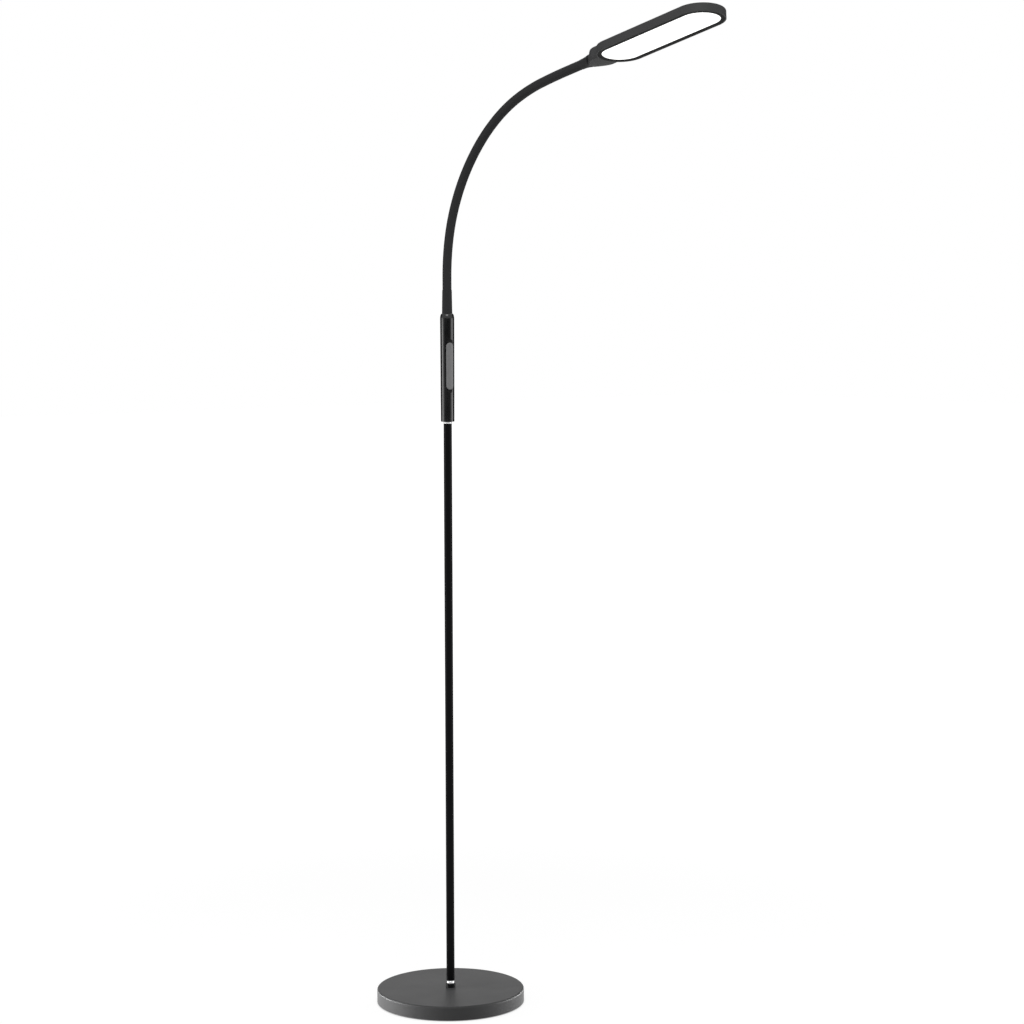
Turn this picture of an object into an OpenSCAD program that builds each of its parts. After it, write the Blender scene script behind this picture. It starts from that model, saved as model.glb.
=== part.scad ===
// Gooseneck reading floor lamp: weighted round base, three-piece pole, handset with a rocking
// key, a flexible neck of ball-seated hose segments, and a flat LED head that turns on the neck.
// Millimetres. Origin: centre of the underside of the base. +Z is up, the neck leans towards +X.

/* [Base] */
// Diameter of the base cover
base_d = 230; // [200:1:260]
// Height from the floor to the top of the base cover
base_h = 22.5; // [22:0.5:28]
// Radius of the cover's rolled upper edge
rim_r = 3; // [1.5:0.5:5]
// Sheet thickness of the base cover
cover_wall = 1.2; // [0.8:0.1:1.6]
// Thickness of the non-slip pad under the base
pad_t = 1.5; // [1:0.25:2.5]
// How far the pad stops inside the cover's edge
pad_inset = 6; // [3:1:15]
// Thickness of the bottom plate
plate_t = 1.5; // [1:0.25:2]
// Thickness of the cast weight outside its middle boss
weight_t = 13; // [11:0.5:14]
// Diameter of the boss in the middle of the weight
weight_boss_d = 60; // [45:1:90]
// Number of screws that hold the bottom plate
plate_screw_count = 4; // [3:1:6]
// Radius of the circle of plate screws
plate_screw_pcr = 80; // [60:1:90]
// Shank diameter of a plate screw
plate_screw_d = 4; // [3:0.5:5]
// Length of a plate screw
plate_screw_l = 10; // [8:1:11]

/* [Power inlet] */
// Outer diameter of the threaded barrel of the inlet
inlet_d = 8; // [7:0.5:9]
// Bore of the inlet, for a 5.5 mm plug
inlet_bore_d = 5.7; // [5.6:0.1:6]
// Diameter of the contact pin in the inlet
inlet_pin_d = 2; // [1.6:0.1:2.5]
// Depth of the inlet's bore
inlet_depth = 9; // [8:0.5:10]
// Side of the inlet's moulded body
inlet_body_w = 10; // [9:0.5:11]

/* [Pole] */
// Outer diameter of the pole
pole_d = 12.7; // [12:0.1:16]
// Wall of the pole's tube
pole_wall = 0.9; // [0.8:0.1:1.1]
// Length of one of the three pole sections
pole_section_l = 291; // [220:1:340]
// How much wider than the pole the collar at its foot is
collar_extra_d = 2.4; // [1.6:0.2:5]
// Height of the collar
collar_h = 6.5; // [5:0.5:12]
// Thickness of the polished ring between the collar and the pole
foot_ring_t = 5; // [3:0.5:8]
// Diameter of the hollow stud that fixes the pole
stud_d = 8; // [7:0.5:8.5]
// Length of the threaded nipples between the pole sections
nipple_l = 36; // [24:1:50]

/* [Handset] */
// Thickness of the polished ring under the handset
ring_t = 3; // [2:0.5:5]
// Length of the handset
handset_l = 166; // [160:1:190]
// Diameter of the handset at its foot
handset_d_low = 20.9; // [20.4:0.1:23]
// Diameter of the handset under its shoulder
handset_d_high = 21.8; // [21:0.1:24]
// Wall of the handset's shells
handset_wall = 1.6; // [1.3:0.1:1.8]
// Height of the handset's rounded shoulder
shoulder_h = 8; // [5:0.5:12]
// Turn of the handset's front about the pole, from the neck's side
handset_turn = -15; // [-90:1:90]
// Length of the control key
key_l = 72; // [66:1:80]
// Width of the control key
key_w = 12.4; // [11:0.1:13]
// How far the key stands out of the handset
key_raise = 0.9; // [0.6:0.1:1.5]
// Height of the key's middle above the foot of the handset
key_z = 85.5; // [80:0.5:90]

/* [Neck] */
// Outer diameter of the flexible neck
neck_d = 13.8; // [13:0.1:15]
// Bore of the flexible neck
neck_bore_d = 8; // [5:0.2:8.4]
// Length of one neck segment along its middle line
segment_l = 55.6; // [45:0.1:70]
// Spherical seat's radius over the neck's radius
seat_ratio = 1.22; // [1.15:0.01:1.3]
// Gap in a seat between two segments
seat_gap = 0.3; // [0.2:0.05:0.4]
// Length of the ferrule that shows above the handset
low_ferrule_l = 36; // [24:1:45]
// Diameter of that ferrule where it leaves the handset
low_ferrule_d = 15.9; // [15.6:0.1:17]
// Length of the flared ferrule at the head
top_ferrule_l = 20; // [16:0.5:26]
// Diameter of the flared ferrule's mouth
top_ferrule_d = 18.6; // [17.6:0.1:20]

/* [Head] */
// Turn of the head about the neck's end
head_roll = -7.4; // [-30:0.1:30]
// Length of the lamp head, without its neck block
head_l = 233; // [180:1:300]
// Width of the lamp head
head_w = 71.4; // [62:0.1:90]
// Thickness of the lamp head
head_t = 12.4; // [12:0.1:16]
// Height of the head's top above the neck's middle line
head_top = 3.2; // [3:0.1:4]
// Wall of the head housing
head_wall = 1.8; // [1.4:0.1:2.4]
// Radius of the head's upper edge
head_edge_r = 2.2; // [1:0.1:3]
// Width of the dark border round the lit panel
border_w = 7.5; // [6:0.1:12]
// Length of the block between the neck and the head
block_l = 30.3; // [28:0.1:40]
// Width of the neck block where it meets the head
block_w = 41; // [34:0.5:46]
// Width of the neck block at the ferrule
block_mouth_w = 13; // [12:0.5:16]
// Length over which the block flares to its full width
block_flare_l = 26; // [22:0.5:28]
// Height of the block's crown above the neck's middle line
block_top = 8.7; // [8:0.1:10]
// Height of the block's top at the ferrule
block_mouth_top = 7.2; // [7:0.1:7.8]
// LED chips along the board
led_columns = 14; // [8:1:18]
// LED chips across the board
led_rows = 3; // [2:1:3]

/* [Leads] */
// Diameter of the inner lead
lead_d = 3.6; // [3:0.1:3.8]
// Radius of the lead's bend under the pole
lead_bend_r = 4; // [3.5:0.1:4.5]

/* [Hidden] */
$fn = 72;
fit = 0.05; // radial clearance of a turned fit
slip = 0.15; // clearance between moulded pieces
cut = 1; // how far a cutter runs past a face

neck_bends = [0, 10.5, 12.5, 11.5, 10.5, 11, 11.5, 8.5, 2.5, 0]; // bend of each segment at rest, in degrees
segments = len(neck_bends);

// base levels
weight_z = pad_t + plate_t;
cover_under = base_h - cover_wall;
lead_r = lead_d / 2;
lead_bore_r = lead_r + 0.5;
lead_z = weight_z + lead_r + 0.7;
stud_r = stud_d / 2;
nut_h = 4;
nut_af = stud_d * 1.6;
lock_t = 1.6;
washer_t = 1.2;
washer_r = stud_d;
nut_z = lead_z + lead_bend_r + 0.5;
shelf_z = nut_z + nut_h + lock_t + washer_t;
well_r = washer_r + 5;
cover_in_r = base_d / 2 - cover_wall;
plate_r = cover_in_r - slip;
weight_r = plate_r - 2;
inlet_z = pad_t + (base_h - rim_r - pad_t) / 2;
inlet_flange_t = 1.4;
inlet_flange_r = inlet_d / 2 + 1.6;
inlet_body_l = inlet_depth + 4;
inlet_nut_t = 2;
notch_x = -cover_in_r + inlet_body_l + 3;
channel_w = lead_d + 1.6;

// pole levels
pole_r = pole_d / 2;
pole_in_r = pole_r - pole_wall;
stud_hole_r = stud_r + 0.2;
collar_edge = 0.6;
ring_seat = 0.5; // depth of the foot ring's seat in the collar's top
foot_ring_z = base_h + collar_h - ring_seat;
pole_z = foot_ring_z + foot_ring_t;
plug_l = 22;
pole_top = pole_z + 3 * pole_section_l;
seam_chamfer = 0.25;

// handset levels
handset_z = pole_top + ring_t;
handset_floor = 3;
handset_in_r = handset_d_low / 2 - handset_wall;
handset_top = handset_z + handset_l;
handset_nipple_in = 12;
low_ferrule_r = low_ferrule_d / 2;
flange_t = 4;
cavity_top = handset_l - 13.5;
board_t = 1.6;
board_w = 14;
board_z0 = 24;
board_end_drop = 34; // from the top of the handset to the board's upper end
board_z1 = handset_l - board_end_drop;
handset_screw_y = 5.2;
handset_screw_r = 1.2;
handset_screw_foot = 17;
handset_screw_drop = 27; // from the top of the handset to the upper screws
handset_screw_zs = [handset_screw_foot, handset_l - handset_screw_drop];
boss_r = 3;
key_play = 0.3;
key_in_x = 7.2;
key_pivot_x = 5.2;
key_pin_r = 0.75;
key_lug_w = 4;
key_ear_w = 2;
key_stem_z = 26;
switch_h = 3.1;
switch_top_x = board_t + switch_h + 0.6;
stem_gap = 0.9;
recess_x = handset_d_low / 2 - 0.6;
recess_end = 5; // how far the flat recess runs past the key's ends
recess_side = 0.5; // and past the sides of its opening

// neck: angle from the vertical and middle-line point at the start of segment i
neck_r = neck_d / 2;
neck_bore_r = neck_bore_d / 2;
seat_r = neck_r * seat_ratio;
pivot_drop = sqrt(seat_r * seat_r - neck_r * neck_r);
ball_h = seat_r - pivot_drop + 0.5;
function bend_r(b) = segment_l * 180 / (PI * b);
function neck_angle(i) = i == 0 ? 0 : neck_angle(i - 1) + neck_bends[i - 1];
function arc_step(a, b) = b == 0
    ? segment_l * [sin(a), 0, cos(a)]
    : bend_r(b) * [cos(a) - cos(a + b), 0, sin(a + b) - sin(a)];
function neck_point(i) = i == 0
    ? [0, 0, handset_top]
    : neck_point(i - 1) + arc_step(neck_angle(i - 1), neck_bends[i - 1]);
socket_depth = 9.5; // how far the neck and its ferrule stand in the handset

// swivel at the neck's end, along the head's own axis from the ferrule's mouth
spindle_r = 3.4;
spindle_flange_t = 2;
spindle_flange_r = neck_r - 0.6;
ferrule_wall_t = 5;
swivel_gap = 0.4;
swivel_wall = 10;
swivel_washer_t = 1.2;
swivel_nut_h = 4.5;
swivel_nut_af = 10;
swivel_pocket_r = swivel_nut_af / sqrt(3) + 0.5;
neck_end_cut = ferrule_wall_t + spindle_flange_t;

// head levels
head_bottom = head_top - head_t;
roof_z = head_top - head_wall;
cavity_l = head_l - 2 * head_wall;
cavity_w = head_w - 2 * head_wall;
lit_l = head_l - 2 * border_w;
lit_w = head_w - 2 * border_w;
bezel_t = 1.8;
diffuser_flange_w = 2.6;
diffuser_flange_t = 1.2;
diffuser_recess = 0.5;
led_board_t = 1.6;
led_z = roof_z - led_board_t;
led_size = [3.5, 2.8, 0.8];
diffuser_z = head_bottom + bezel_t;
reflector_z = diffuser_z + diffuser_flange_t;
block_round = 3;
block_crown_l = 2; // how far the crown runs on over the head
block_fade_l = 14; // length over which the crown sinks into the head

// ---- shapes ----

// points of an arc about c from angle a0 to a1
function arc(c, r, a0, a1, n) = [for (k = [0:n]) let (a = a0 + (a1 - a0) * k / n) c + r * [cos(a), sin(a)]];

// tube or rod of radius r with a bore
module tube(r, bore, h) {
    difference() {
        cylinder(r = r, h = h);
        translate([0, 0, -cut]) cylinder(r = bore, h = h + 2 * cut);
    }
}

// hexagon nut with a bore
module hex_nut(af, bore, h) {
    difference() {
        cylinder(d = af * 2 / sqrt(3), h = h, $fn = 6);
        translate([0, 0, -cut]) cylinder(r = bore, h = h + 2 * cut);
    }
}

// outline with two round ends, along X, starting at x = 0
module racetrack(l, w) {
    translate([w / 2, 0]) circle(d = w);
    translate([l - w / 2, 0]) circle(d = w);
    translate([w / 2, -w / 2]) square([l - w, w]);
}

// straight length of pole between two levels, with chamfered seams
module pole_section(z) {
    s = seam_chamfer;
    l = pole_section_l;
    translate([0, 0, z]) rotate_extrude()
        polygon([
            [pole_in_r, 0], [pole_r - s, 0], [pole_r, s],
            [pole_r, l - s], [pole_r - s, l], [pole_in_r, l]
        ]);
}

module in_handset() {
    translate([0, 0, handset_z]) rotate([0, 0, handset_turn]) children();
}

// points along X out of the handset's front
module forward(x, z) {
    translate([x, 0, z]) rotate([0, 90, 0]) children();
}

// upright racetrack prism of the key's outline, reaching out from x
module key_prism(x, l, w, reach) {
    translate([x, 0, key_z + l / 2]) rotate([0, 90, 0]) linear_extrude(reach) racetrack(l, w);
}

// ---- base ----

module base_pad() {
    color("dimgray") cylinder(r = base_d / 2 - pad_inset, h = pad_t, $fn = 180);
}

module at_plate_screws() {
    for (k = [0:plate_screw_count - 1])
        rotate([0, 0, (k + 0.5) * 360 / plate_screw_count])
            translate([plate_screw_pcr, 0, 0]) children();
}

module plate_screw(play) {
    r = plate_screw_d / 2 + play;
    rotate_extrude()
        polygon([
            [0, 0], [r + plate_t * 0.9, 0], [r, plate_t * 0.9],
            [r, plate_screw_l + play], [0, plate_screw_l + play]
        ]);
}

module base_plate() {
    color("gray") difference() {
        translate([0, 0, pad_t]) cylinder(r = plate_r, h = plate_t, $fn = 180);
        at_plate_screws() translate([0, 0, pad_t]) plate_screw(fit);
    }
}

module plate_screws() {
    color("silver") at_plate_screws() translate([0, 0, pad_t]) plate_screw(0);
}

module base_weight() {
    color("#4a4a4d") difference() {
        union() {
            translate([0, 0, weight_z]) cylinder(r = weight_r, h = weight_t, $fn = 180);
            translate([0, 0, weight_z]) cylinder(d = weight_boss_d, h = cover_under - weight_z);
        }
        // well for the nut, hole for the stud
        translate([0, 0, weight_z - cut]) cylinder(r = well_r, h = shelf_z - weight_z + cut);
        translate([0, 0, weight_z]) cylinder(r = stud_hole_r, h = base_h);
        // notch for the inlet and channel for its lead
        translate([-base_d, -inlet_body_w / 2 - 3, 0])
            cube([base_d + notch_x, inlet_body_w + 6, base_h]);
        translate([notch_x - cut, -channel_w / 2, weight_z - cut])
            cube([-notch_x, channel_w, 2 * (lead_z - weight_z) + cut + 0.5]);
        at_plate_screws() translate([0, 0, pad_t]) plate_screw(fit);
    }
}

module base_cover() {
    r = base_d / 2;
    inner_r = max(rim_r - cover_wall, 0.3);
    outer = arc([r - rim_r, base_h - rim_r], rim_r, 90, 0, 8);
    inner = arc([cover_in_r - inner_r, cover_under - inner_r], inner_r, 0, 90, 6);
    color("#3c3c3e") difference() {
        rotate_extrude($fn = 180)
            polygon(concat(
                [[stud_hole_r, base_h]], outer, [[r, pad_t], [cover_in_r, pad_t]],
                inner, [[stud_hole_r, cover_under]]
            ));
        translate([-r - cut, 0, inlet_z]) rotate([0, 90, 0]) cylinder(d = inlet_d + 2 * fit, h = 4 * cover_wall + cut);
    }
}

// the inlet's outer flange rests on the skirt; its nut clamps from inside
module at_inlet() {
    translate([-base_d / 2, 0, inlet_z]) rotate([0, 90, 0]) children();
}

module inlet_jack() {
    body_z0 = cover_wall + inlet_nut_t + 0.6;
    color("#1c1c1e") at_inlet() {
        difference() {
            union() {
                translate([0, 0, -inlet_flange_t]) cylinder(r = inlet_flange_r, h = inlet_flange_t);
                translate([0, 0, -inlet_flange_t]) cylinder(d = inlet_d, h = body_z0 + inlet_flange_t + 0.1);
                translate([-inlet_body_w / 2, -inlet_body_w / 2, body_z0])
                    cube([inlet_body_w, inlet_body_w, inlet_body_l - body_z0]);
            }
            translate([0, 0, -inlet_flange_t - cut]) cylinder(d = inlet_bore_d, h = inlet_depth + cut);
        }
        translate([0, 0, -inlet_flange_t + 1]) cylinder(d = inlet_pin_d, h = inlet_depth - 0.5);
    }
}

module inlet_nut() {
    color("silver") at_inlet() translate([0, 0, cover_wall + 0.3])
        hex_nut(inlet_d * 1.35, inlet_d / 2 + fit, inlet_nut_t);
}

// ---- pole ----

module pole_stud() {
    color("silver") translate([0, 0, nut_z - 0.3])
        tube(stud_r, lead_bore_r, pole_z + plug_l - 2 - nut_z + 0.3);
}

module stud_nut() {
    color("silver") translate([0, 0, nut_z]) hex_nut(nut_af, stud_r + fit, nut_h);
}

// split spring washer
module stud_lock_washer() {
    color("silver") translate([0, 0, nut_z + nut_h]) difference() {
        tube(washer_r - 1.5, stud_r + fit, lock_t);
        rotate([0, 0, 40]) translate([0, -0.6, -cut]) cube([washer_r, 1.2, lock_t + 2 * cut]);
    }
}

module stud_washer() {
    color("silver") translate([0, 0, shelf_z - washer_t]) tube(washer_r, stud_r + fit, washer_t);
}

// moulded collar: a low drum with an eased upper edge and a shallow seat for the ring
module pole_collar() {
    r = pole_r + collar_extra_d / 2;
    bore = pole_r + fit;
    seat_z = collar_h - ring_seat;
    color("#111113") translate([0, 0, base_h]) rotate_extrude()
        polygon(concat(
            [[stud_hole_r, 0], [r, 0]],
            arc([r - collar_edge, collar_h - collar_edge], collar_edge, 0, 90, 6),
            [[bore, collar_h], [bore, seat_z], [stud_hole_r, seat_z]]
        ));
}

// polished ring of the pole's own width
module polished_ring(z, bore, t) {
    color("white") translate([0, 0, z]) tube(pole_r, bore, t);
}

module foot_ring() {
    polished_ring(foot_ring_z, stud_hole_r, foot_ring_t);
}

module pole_plug() {
    color("silver") translate([0, 0, pole_z]) tube(pole_in_r - fit, stud_r + fit, plug_l);
}

module pole_lower() {
    color("#0f0f11") pole_section(pole_z);
}

module pole_middle() {
    color("#0f0f11") pole_section(pole_z + pole_section_l);
}

module pole_upper() {
    color("#0f0f11") pole_section(pole_z + 2 * pole_section_l);
}

module section_nipple(z) {
    color("silver") translate([0, 0, z - nipple_l / 2]) tube(pole_in_r - fit, lead_bore_r + 0.6, nipple_l);
}

module lower_nipple() {
    section_nipple(pole_z + pole_section_l);
}

module upper_nipple() {
    section_nipple(pole_z + 2 * pole_section_l);
}

// lead from the inlet along the weight's channel and up the pole to the circuit board
module power_lead() {
    x0 = -base_d / 2 + inlet_body_l;
    color("#222222") {
        translate([x0, 0, lead_z]) rotate([0, 90, 0]) cylinder(r = lead_r, h = -x0 - lead_bend_r);
        translate([-lead_bend_r, 0, lead_z + lead_bend_r]) rotate([90, 0, 0]) rotate([0, 0, -90])
            rotate_extrude(angle = 90) translate([lead_bend_r, 0]) circle(r = lead_r);
        translate([0, 0, lead_z + lead_bend_r])
            cylinder(r = lead_r, h = handset_z + board_z0 - 0.3 - lead_z - lead_bend_r);
    }
}

// ---- handset ----

module handset_ring() {
    polished_ring(pole_top, pole_in_r, ring_t);
}

module handset_nipple() {
    depth = nipple_l / 2;
    color("silver") translate([0, 0, pole_top - depth])
        tube(pole_in_r - fit, lead_bore_r + 0.6, depth + ring_t + handset_nipple_in);
}

module handset_nut() {
    color("silver") translate([0, 0, handset_z + handset_floor]) hex_nut(14, pole_in_r, 4.5);
}

// both shells before they are parted: tapered barrel with a rounded shoulder
module handset_barrel() {
    r0 = handset_d_low / 2;
    r1 = handset_d_high / 2;
    mouth = low_ferrule_r + fit;
    shoulder = [
        for (k = [0:8]) let (a = 90 * k / 8)
        [mouth + (r1 - mouth) * cos(a), handset_l - shoulder_h + shoulder_h * sin(a)]
    ];
    rotate_extrude()
        polygon(concat(
            [[pole_in_r, 0], [r0 - 0.6, 0], [r0, 0.6]],
            shoulder,
            [[mouth, cavity_top], [handset_in_r, cavity_top]],
            [[handset_in_r, handset_floor], [pole_in_r, handset_floor]]
        ));
}

// the front (1) or rear (-1) half of the room round the handset
module half_space(side) {
    reach = handset_d_high;
    translate([side > 0 ? 0 : -reach, -reach, -cut]) cube([reach, 2 * reach, handset_l + 2 * cut]);
}

module at_handset_screws() {
    for (z = handset_screw_zs)
        for (y = [-handset_screw_y, handset_screw_y])
            translate([0, y, z]) children();
}

module handset_front() {
    color("#141416") in_handset() {
        difference() {
            intersection() {
                union() {
                    handset_barrel();
                    intersection() {
                        at_handset_screws() rotate([0, 90, 0]) cylinder(r = boss_r, h = handset_in_r + 1);
                        cylinder(r = handset_in_r + 0.4, h = handset_l);
                    }
                }
                half_space(1);
            }
            key_prism(board_t + cut, key_l + 2 * key_play, key_w + 2 * key_play, handset_d_high);
            key_prism(recess_x, key_l + 2 * recess_end, key_w + 2 * (key_play + recess_side), handset_d_high);
            at_handset_screws() translate([-cut, 0, 0]) rotate([0, 90, 0])
                cylinder(r = handset_screw_r + fit, h = 5 + cut);
        }
    }
}

module handset_rear() {
    ledge_y = board_w / 2 - 1.5;
    color("#141416") in_handset() {
        difference() {
            intersection() {
                union() {
                    handset_barrel();
                    intersection() {
                        union() {
                            at_handset_screws() rotate([0, -90, 0]) cylinder(r = boss_r, h = handset_in_r + 1);
                            for (s = [-1, 1])
                                translate([-1.6, s > 0 ? ledge_y : -ledge_y - 4, board_z0 + 2])
                                    cube([1.6, 4, board_z1 - board_z0 - 4]);
                        }
                        cylinder(r = handset_in_r + 0.4, h = handset_l);
                    }
                }
                half_space(-1);
            }
            // screw holes with counterbores
            at_handset_screws() rotate([0, -90, 0]) {
                translate([0, 0, -cut]) cylinder(r = handset_screw_r + fit, h = handset_d_high);
                translate([0, 0, 4]) cylinder(r = 2.3, h = handset_d_high);
            }
        }
    }
}

module handset_screws() {
    color("silver") in_handset() at_handset_screws() {
        translate([-4, 0, 0]) rotate([0, 90, 0]) cylinder(r = handset_screw_r, h = 8.5);
        translate([-5.6, 0, 0]) rotate([0, 90, 0]) difference() {
            cylinder(r = 2.1, h = 1.6);
            translate([0, 0, -cut]) cylinder(r = 0.8, h = cut + 0.8, $fn = 6);
        }
    }
}

module circuit_board() {
    color("#1d5b35") in_handset() translate([0, -board_w / 2, board_z0]) cube([board_t, board_w, board_z1 - board_z0]);
}

// coil, capacitor and driver chip behind the board
module driver_parts() {
    color("#33302c") in_handset() {
        forward(-4, key_z) cylinder(r = 3.2, h = 4);
        forward(-5.5, key_z - 16) cylinder(r = 2.5, h = 5.5);
        translate([-1.4, -3, key_z + 14]) cube([1.4, 6, 5]);
    }
}

module key_switches() {
    color("#303033") in_handset() for (s = [-1, 1]) {
        translate([board_t, -3, key_z + s * key_stem_z - 3]) cube([switch_h, 6, 6]);
        forward(board_t + switch_h, key_z + s * key_stem_z) cylinder(r = 1.6, h = switch_top_x - board_t - switch_h);
    }
}

module key_bracket() {
    ear_h = key_pivot_x + 1.3 - board_t;
    color("#2b2b2e") in_handset() difference() {
        union() {
            translate([board_t, -6, key_z - 8]) cube([1.2, 12, 16]);
            for (s = [-1, 1])
                translate([board_t, s > 0 ? key_lug_w / 2 + 0.4 : -key_lug_w / 2 - 0.4 - key_ear_w, key_z - 2.5])
                    cube([ear_h, key_ear_w, 5]);
        }
        translate([key_pivot_x, 0, key_z]) rotate([90, 0, 0]) cylinder(r = key_pin_r + 0.02, h = handset_d_high, center = true);
    }
}

module key_pin() {
    color("silver") in_handset() translate([key_pivot_x, 0, key_z]) rotate([90, 0, 0])
        cylinder(r = key_pin_r, h = key_lug_w + 0.8 + 2 * key_ear_w, center = true);
}

// rocking key: curved like the handset, with a pivot lug and two stems behind
module control_key() {
    low = handset_d_low / 2;
    high = handset_d_high / 2;
    color("#868688") in_handset() difference() {
        union() {
            intersection() {
                key_prism(key_in_x, key_l, key_w, handset_d_high);
                cylinder(r1 = low + key_raise, r2 = high + key_raise, h = handset_l - shoulder_h);
            }
            translate([key_pivot_x - 1.4, -key_lug_w / 2, key_z - 1.6])
                cube([key_in_x - key_pivot_x + 1.5, key_lug_w, 3.2]);
            for (s = [-1, 1])
                forward(switch_top_x + stem_gap, key_z + s * key_stem_z)
                    cylinder(r = 1.8, h = key_in_x - switch_top_x - stem_gap + 0.1);
        }
        translate([key_pivot_x, 0, key_z]) rotate([90, 0, 0]) cylinder(r = key_pin_r + fit, h = 20, center = true);
    }
}

// ---- neck ----

module at_neck(i) {
    translate(neck_point(i)) rotate([0, neck_angle(i), 0]) children();
}

// hose of segment i up to the ball's top, with the segment's own bend towards +X
module hose(i) {
    bend = neck_bends[i];
    arc_r = bend_r(bend);
    turn = bend * (segment_l + ball_h) / segment_l;
    if (bend == 0)
        tube(neck_r, neck_bore_r, segment_l + ball_h);
    else
        translate([arc_r, 0, 0]) rotate([90, 0, 0]) rotate([0, 0, 180 - turn])
            rotate_extrude(angle = turn, $fn = 120) translate([arc_r, 0])
                difference() {
                    circle(r = neck_r);
                    circle(r = neck_bore_r);
                }
}

// everything beyond a ball of radius seat_r about the pivot
module beyond_ball() {
    difference() {
        cylinder(r = 2 * neck_r, h = 2 * seat_r);
        sphere(r = seat_r);
    }
}

// a segment starts in a hollow seat and ends in a ball, so it swings about the ball's centre;
// the first stands in the lower ferrule and the last ends in the upper one, both straight
module neck_segment(i) {
    color("#333335") difference() {
        if (i == 0)
            translate([0, 0, handset_top - socket_depth])
                tube(neck_r, neck_bore_r, socket_depth + segment_l + ball_h);
        else if (i == segments - 1)
            at_neck(i) tube(neck_r, neck_bore_r, segment_l - neck_end_cut - 0.2);
        else
            at_neck(i) hose(i);
        if (i > 0) at_neck(i) translate([0, 0, -pivot_drop]) sphere(r = seat_r + seat_gap);
        if (i < segments - 1) at_neck(i + 1) translate([0, 0, -pivot_drop]) beyond_ball();
    }
}

// ferrule that carries the neck; the handset's shells close over its flange
module lower_ferrule() {
    foot = socket_depth + 3;
    bore = neck_r + fit;
    color("#2a2a2c") translate([0, 0, handset_top]) rotate_extrude()
        polygon([
            [lead_bore_r + 0.4, -foot - flange_t], [handset_in_r - 0.3, -foot - flange_t],
            [handset_in_r - 0.3, -foot - 1.2], [low_ferrule_r, -foot - 1.2],
            [low_ferrule_r, 0], [bore + 0.35, low_ferrule_l - 0.4], [bore, low_ferrule_l],
            [bore, -socket_depth], [lead_bore_r + 0.4, -socket_depth]
        ]);
}

// flared ferrule under the head, with a wall that holds the spindle
module upper_ferrule() {
    r0 = neck_r + 0.4;
    r1 = top_ferrule_d / 2;
    flare = [
        for (k = [0:10]) let (t = k / 10)
        [r0 + (r1 - r0) * t * t, -top_ferrule_l + (top_ferrule_l - 1.2) * t]
    ];
    color("#2e2e30") at_neck(segments) rotate_extrude()
        polygon(concat(
            [[neck_r + fit, -top_ferrule_l]], flare,
            [[r1, 0], [spindle_r + fit, 0], [spindle_r + fit, -ferrule_wall_t], [neck_r + fit, -ferrule_wall_t]]
        ));
}

// hollow spindle: the head turns on it
module swivel_spindle() {
    bore = lead_r + 0.4;
    end = swivel_wall + swivel_washer_t + swivel_nut_h + 1;
    color("silver") at_neck(segments) {
        translate([0, 0, -neck_end_cut]) tube(spindle_flange_r, bore, spindle_flange_t);
        translate([0, 0, -neck_end_cut]) tube(spindle_r, bore, neck_end_cut + end);
    }
}

module swivel_washer() {
    color("silver") at_neck(segments) translate([0, 0, swivel_wall + 0.1])
        tube(swivel_pocket_r - 0.8, spindle_r + fit, swivel_washer_t - 0.1);
}

module swivel_nut() {
    color("silver") at_neck(segments) translate([0, 0, swivel_wall + swivel_washer_t])
        hex_nut(swivel_nut_af, spindle_r + fit, swivel_nut_h);
}

// middle-line point and angle of the neck at share f of segment i
function neck_station(i, f) =
    let (
        a = neck_angle(i),
        b = neck_bends[i] * f,
        step = b == 0 ? [0, segment_l * f] : bend_r(neck_bends[i]) * [1 - cos(b), sin(b)]
    )
    [neck_point(i) + [step[0] * cos(a) + step[1] * sin(a), 0, step[1] * cos(a) - step[0] * sin(a)], a + b];

// one lead from the circuit board through the whole neck to the LED board, swept along the neck
module neck_lead() {
    sides = 10;
    steps = 5;
    tip = block_l + border_w - diffuser_flange_w - 0.4;
    tip_a = neck_angle(segments);
    stations = concat(
        [[[0, 0, handset_z + board_z1 + 0.3], 0]],
        [for (i = [0:segments - 1]) for (k = [0:steps - 1]) neck_station(i, k / steps)],
        [[neck_point(segments), tip_a]],
        [[neck_point(segments) + tip * [sin(tip_a), 0, cos(tip_a)], tip_a]]
    );
    rings = len(stations);
    points = [
        for (s = stations) for (k = [0:sides - 1]) let (t = k * 360 / sides)
        s[0] + lead_r * [cos(t) * cos(s[1]), sin(t), -cos(t) * sin(s[1])]
    ];
    walls = [
        for (j = [0:rings - 2]) for (k = [0:sides - 1])
        let (a = j * sides + k, b = j * sides + (k + 1) % sides)
        each [[a, a + sides, b], [b, a + sides, b + sides]]
    ];
    foot = [[for (k = [0:sides - 1]) k]];
    head = [[for (k = [sides - 1:-1:0]) (rings - 1) * sides + k]];
    color("#222222") polyhedron(points, concat(walls, foot, head));
}

// ---- head: its own frame has +X along the head, +Z out of its top ----

module in_head() {
    at_neck(segments) rotate([0, -90, 0]) rotate([head_roll, 0, 0]) children();
}

// racetrack of the head's outline, drawn in by d all round, from z up
module head_plate(d, z, t) {
    translate([block_l + d, 0, z]) linear_extrude(t) racetrack(head_l - 2 * d, head_w - 2 * d);
}

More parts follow.
